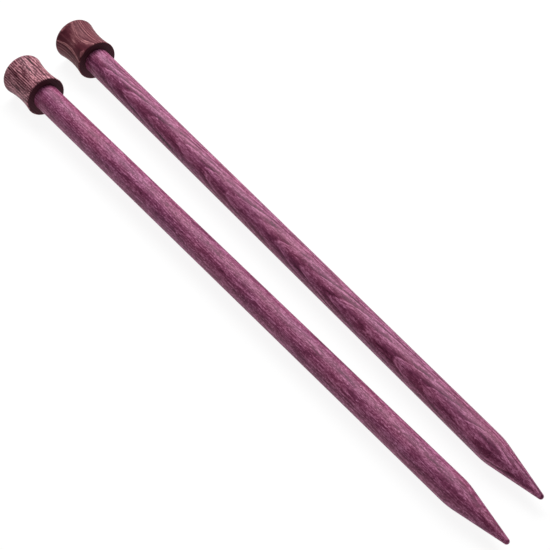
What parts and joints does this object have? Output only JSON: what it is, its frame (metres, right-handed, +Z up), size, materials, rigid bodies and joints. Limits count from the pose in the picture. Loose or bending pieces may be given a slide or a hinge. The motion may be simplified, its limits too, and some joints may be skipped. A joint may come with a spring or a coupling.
{
  "type": "straight knitting needles",
  "caption": "Straight wooden knitting needles for hand knitting: round shafts with blunt conical points and glued, waisted end caps, lying side by side.",
  "frame": {"origin": "on the table, under the middle of the pair's box", "axes": "+X along the pair from the caps to the points, +Y towards the rear needle, +Z up from the table"},
  "size_m": [0.3604, 0.053, 0.0196],
  "materials": {
    "straight_grain_shaft": "plum-dyed laminated birch, polished and sealed",
    "straight_grain_cap": "maroon-dyed laminated birch, polished and sealed",
    "arched_grain_shaft": "plum-dyed laminated birch, polished and sealed",
    "arched_grain_cap": "maroon-dyed laminated birch, polished and sealed"
  },
  "bodies": {
    "front_needle": {"front_shaft": "straight_grain_shaft", "front_end_cap": "straight_grain_cap"},
    "rear_needle": {"rear_shaft": "arched_grain_shaft", "rear_end_cap": "arched_grain_cap"}
  },
  "joints": [
    {"name": "rear_needle_slide", "type": "slide", "parent": "front_needle", "child": "rear_needle", "axis": [-0.9999, 0.0131, 0], "range_m": [0, 0.36]}
  ]
}
